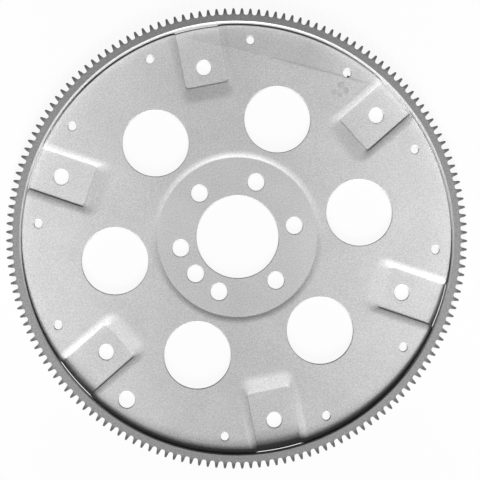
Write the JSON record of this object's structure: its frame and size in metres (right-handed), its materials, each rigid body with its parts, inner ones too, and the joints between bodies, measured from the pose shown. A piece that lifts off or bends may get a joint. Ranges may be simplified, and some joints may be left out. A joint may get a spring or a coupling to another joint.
{
  "type": "flexplate",
  "caption": "Pressed sheet-steel flexplate with a welded starter ring gear, crankshaft seat, lightening holes and offset converter pads on two bolt circles.",
  "frame": {"origin": "centre of the crankshaft bore, on the engine-side face that seats on the crankshaft flange", "axes": "+Z along the crankshaft axis towards the engine; +X through the centre of a crankshaft bolt hole and a lightening hole"},
  "size_m": [0.3598, 0.3598, 0.0103],
  "materials": {
    "sheet_steel": "satin cold-rolled sheet, light grey",
    "gear_steel": "machined and hardened, dark grainy grey",
    "weld_metal": "dull as-welded bead"
  },
  "bodies": {
    "root": {"flex_disc": "sheet_steel", "ring_gear": "gear_steel", "ring_welds": "weld_metal"}
  },
  "joints": []
}
